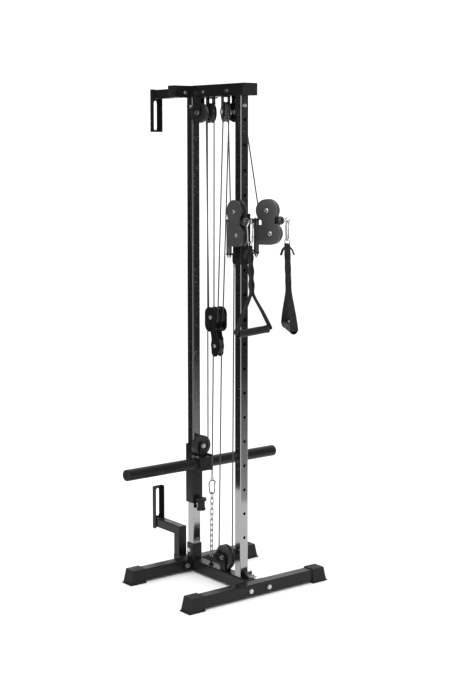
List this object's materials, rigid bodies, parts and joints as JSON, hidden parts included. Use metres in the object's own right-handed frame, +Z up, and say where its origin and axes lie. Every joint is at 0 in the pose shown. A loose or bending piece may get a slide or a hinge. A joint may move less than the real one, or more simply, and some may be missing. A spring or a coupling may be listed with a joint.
{
  "type": "wall-mounted cable pulley tower",
  "caption": "Plate-loaded cable pulley tower with two swivel pulleys on a height-adjustable carriage, wall brackets and hand grips",
  "frame": {"origin": "centre of the footprint box, on the floor", "axes": "+Z up, -Y towards the user, +Y towards the wall, X along the feet and the load bar"},
  "size_m": [0.798, 0.854, 2.1],
  "materials": {
    "black_steel": "black satin powder coat",
    "chrome_tube": "polished chrome plated square tube",
    "zinc": "bright zinc plated",
    "bright_chrome": "polished chrome",
    "black_rubber": "matt moulded rubber",
    "knob_plastic": "moulded knob on a steel pin",
    "liner_nylon": "moulded nylon",
    "pulley_nylon": "glass-filled nylon, slightly worn groove",
    "cable_coat": "plastic coated steel cable",
    "webbing": "woven nylon webbing",
    "grip_foam": "fine ribbed rubber grip"
  },
  "bodies": {
    "frame": {"front_foot": "black_steel", "rear_foot": "black_steel", "foot_caps": "black_rubber", "centre_beam": "black_steel", "rear_socket": "black_steel", "rear_upright": "chrome_tube", "front_upright": "chrome_tube", "corner_bracket": "zinc", "cross_tube": "black_steel", "top_beam": "black_steel", "tube_plugs": "black_rubber", "top_wall_bracket": "black_steel", "lower_wall_bracket": "black_steel", "pulley_brackets": "black_steel", "anchor_chain": "zinc", "frame_bolts": "zinc", "rest_collar": "black_steel", "rest_buffer": "black_rubber", "lift_cable": "cable_coat", "adjust_cable": "cable_coat"},
    "weight_carriage": {"weight_sleeve": "black_steel", "weight_liners": "liner_nylon", "bar_block": "black_steel", "carriage_bolts": "zinc", "load_bar": "black_steel", "load_bar_caps": "black_rubber", "weight_cable_wrap": "cable_coat"},
    "weight_pulley": {"weight_pulley": "pulley_nylon"},
    "floating_block": {"block_frame": "black_steel", "block_cable_wraps": "cable_coat"},
    "block_left_sheave": {"block_left_sheave": "pulley_nylon"},
    "block_right_sheave": {"block_right_sheave": "pulley_nylon"},
    "block_lower_sheave": {"block_lower_sheave": "pulley_nylon"},
    "rear_left_top_pulley": {"rear_left_top_pulley": "pulley_nylon"},
    "rear_right_top_pulley": {"rear_right_top_pulley": "pulley_nylon"},
    "front_left_top_pulley": {"front_left_top_pulley": "pulley_nylon"},
    "front_right_top_pulley": {"front_right_top_pulley": "pulley_nylon"},
    "base_pulley": {"base_pulley": "pulley_nylon"},
    "pulley_carriage": {"pulley_carriage": "black_steel", "carriage_liners": "liner_nylon", "hinge_pins": "zinc"},
    "pop_pin": {"pop_pin": "knob_plastic"},
    "left_swivel": {"left_swivel_frame": "black_steel", "left_swivel_cable": "cable_coat"},
    "left_upper_pulley": {"left_upper_pulley": "pulley_nylon"},
    "left_lower_pulley": {"left_lower_pulley": "pulley_nylon"},
    "left_cable_end": {"left_ball_stop": "black_rubber"},
    "left_handle": {"left_carabiner": "bright_chrome", "left_strap": "webbing"},
    "left_gate": {"left_gate": "bright_chrome"},
    "left_grip": {"left_grip": "grip_foam"},
    "right_swivel": {"right_swivel_frame": "black_steel", "right_swivel_cable": "cable_coat"},
    "right_upper_pulley": {"right_upper_pulley": "pulley_nylon"},
    "right_lower_pulley": {"right_lower_pulley": "pulley_nylon"},
    "right_cable_end": {"right_ball_stop": "black_rubber"},
    "right_handle": {"right_carabiner": "bright_chrome", "right_strap": "webbing"},
    "right_gate": {"right_gate": "bright_chrome"},
    "right_grip": {"right_grip": "grip_foam"}
  },
  "joints": [
    {"name": "weight_lift", "type": "slide", "parent": "frame", "child": "weight_carriage", "axis": [0, 0, 1], "range_m": [0, 1.25], "deforming": ["lift_cable"]},
    {"name": "weight_pulley_spin", "type": "hinge", "parent": "weight_carriage", "child": "weight_pulley", "pos_m": [0, 0.09405, 0.566], "axis": [0, 1, 0], "continuous": true},
    {"name": "pulley_height", "type": "slide", "parent": "frame", "child": "pulley_carriage", "axis": [0, 0, 1], "range_m": [-1.016, 0.3048], "deforming": ["adjust_cable", "lift_cable"]},
    {"name": "block_rise", "type": "slide", "parent": "frame", "child": "floating_block", "axis": [0, 0, 1], "range_m": [-0.1524, 0.508], "deforming": ["adjust_cable", "lift_cable"]},
    {"name": "pop_pin_push", "type": "slide", "parent": "pulley_carriage", "child": "pop_pin", "axis": [0, 1, 0], "range_m": [0, 0.011]},
    {"name": "rear_left_top_pulley_spin", "type": "hinge", "parent": "frame", "child": "rear_left_top_pulley", "pos_m": [-0.0295, 0.06005, 1.986], "axis": [0.9703, 0.2419, 0], "continuous": true},
    {"name": "rear_right_top_pulley_spin", "type": "hinge", "parent": "frame", "child": "rear_right_top_pulley", "pos_m": [0.0295, 0.06005, 1.986], "axis": [0.9703, -0.2419, 0], "continuous": true},
    {"name": "front_left_top_pulley_spin", "type": "hinge", "parent": "frame", "child": "front_left_top_pulley", "pos_m": [-0.0282, -0.11746, 1.986], "axis": [0.9304, -0.3665, 0], "continuous": true},
    {"name": "front_right_top_pulley_spin", "type": "hinge", "parent": "frame", "child": "front_right_top_pulley", "pos_m": [0.0282, -0.11746, 1.986], "axis": [0.9304, 0.3665, 0], "continuous": true},
    {"name": "block_left_sheave_spin", "type": "hinge", "parent": "floating_block", "child": "block_left_sheave", "pos_m": [-0.0135, -0.01295, 1.133], "axis": [1, 0, 0], "continuous": true},
    {"name": "block_right_sheave_spin", "type": "hinge", "parent": "floating_block", "child": "block_right_sheave", "pos_m": [0.0135, -0.01295, 1.133], "axis": [1, 0, 0], "continuous": true},
    {"name": "block_lower_sheave_spin", "type": "hinge", "parent": "floating_block", "child": "block_lower_sheave", "pos_m": [0, -0.02396, 1.013], "axis": [1, 0, 0], "continuous": true},
    {"name": "base_pulley_spin", "type": "hinge", "parent": "frame", "child": "base_pulley", "pos_m": [0, -0.07895, 0.114], "axis": [1, 0, 0], "continuous": true},
    {"name": "left_swivel_turn", "type": "hinge", "parent": "pulley_carriage", "child": "left_swivel", "pos_m": [-0.071, -0.19495, 1.48], "axis": [0, 0, 1], "range_deg": [-80, 0], "deforming": ["lift_cable"]},
    {"name": "left_upper_pulley_spin", "type": "hinge", "parent": "left_swivel", "child": "left_upper_pulley", "pos_m": [-0.071, -0.24496, 1.586], "axis": [1, 0, 0], "continuous": true},
    {"name": "left_lower_pulley_spin", "type": "hinge", "parent": "left_swivel", "child": "left_lower_pulley", "pos_m": [-0.071, -0.25995, 1.492], "axis": [1, 0, 0], "continuous": true},
    {"name": "left_cable_pull", "type": "slide", "parent": "left_swivel", "child": "left_cable_end", "axis": [0, -1, 0], "range_m": [0, 1.25]},
    {"name": "left_handle_swing", "type": "hinge", "parent": "left_cable_end", "child": "left_handle", "pos_m": [-0.071, -0.33095, 1.5459], "axis": [1, 0, 0], "range_deg": [-90, 0]},
    {"name": "left_gate_open", "type": "hinge", "parent": "left_handle", "child": "left_gate", "pos_m": [-0.059, -0.33095, 1.48832], "axis": [0, -1, 0], "range_deg": [0, 22], "stiffness_Nm_per_rad": 0.02, "springref_deg": -34.38},
    {"name": "left_grip_spin", "type": "hinge", "parent": "left_handle", "child": "left_grip", "pos_m": [-0.062, -0.33996, 1.111], "axis": [0.9911, -0.1005, 0.0871], "continuous": true},
    {"name": "right_swivel_turn", "type": "hinge", "parent": "pulley_carriage", "child": "right_swivel", "pos_m": [0.071, -0.19495, 1.48], "axis": [0, 0, 1], "range_deg": [-18, 51.5], "deforming": ["lift_cable"]},
    {"name": "right_upper_pulley_spin", "type": "hinge", "parent": "right_swivel", "child": "right_upper_pulley", "pos_m": [0.09486, -0.2389, 1.586], "axis": [0.8788, 0.4772, 0], "continuous": true},
    {"name": "right_lower_pulley_spin", "type": "hinge", "parent": "right_swivel", "child": "right_lower_pulley", "pos_m": [0.10201, -0.25208, 1.492], "axis": [0.8788, 0.4772, 0], "continuous": true},
    {"name": "right_cable_pull", "type": "slide", "parent": "right_swivel", "child": "right_cable_end", "axis": [0.4772, -0.8788, 0], "range_m": [0, 1.25]},
    {"name": "right_handle_swing", "type": "hinge", "parent": "right_cable_end", "child": "right_handle", "pos_m": [0.13589, -0.31447, 1.5459], "axis": [0.8788, 0.4772, 0], "range_deg": [-90, 0]},
    {"name": "right_gate_open", "type": "hinge", "parent": "right_handle", "child": "right_gate", "pos_m": [0.14644, -0.30875, 1.48832], "axis": [0.4772, -0.8788, 0], "range_deg": [0, 22], "stiffness_Nm_per_rad": 0.02, "springref_deg": -34.38},
    {"name": "right_grip_spin", "type": "hinge", "parent": "right_handle", "child": "right_grip", "pos_m": [0.126, -0.34296, 1.113], "axis": [0.4462, 0.8924, 0.0666], "continuous": true}
  ],
  "couplings": [
    {"joint": "block_rise", "follows": "pulley_height", "ratio": -0.5},
    {"joint": "rear_left_top_pulley_spin", "follows": "weight_lift", "rad_per_m": 27.778},
    {"joint": "rear_right_top_pulley_spin", "follows": "weight_lift", "rad_per_m": 27.778},
    {"joint": "front_left_top_pulley_spin", "follows": "weight_lift", "rad_per_m": 27.778},
    {"joint": "front_right_top_pulley_spin", "follows": "weight_lift", "rad_per_m": 27.778},
    {"joint": "block_left_sheave_spin", "follows": "weight_lift", "rad_per_m": -32.258},
    {"joint": "block_right_sheave_spin", "follows": "weight_lift", "rad_per_m": -32.258},
    {"joint": "block_lower_sheave_spin", "follows": "pulley_height", "rad_per_m": 17.544},
    {"joint": "base_pulley_spin", "follows": "pulley_height", "rad_per_m": -21.739},
    {"joint": "left_upper_pulley_spin", "follows": "weight_lift", "rad_per_m": -25},
    {"joint": "left_cable_pull", "follows": "weight_lift", "ratio": 1},
    {"joint": "right_upper_pulley_spin", "follows": "weight_lift", "rad_per_m": -25},
    {"joint": "right_cable_pull", "follows": "weight_lift", "ratio": 1}
  ]
}
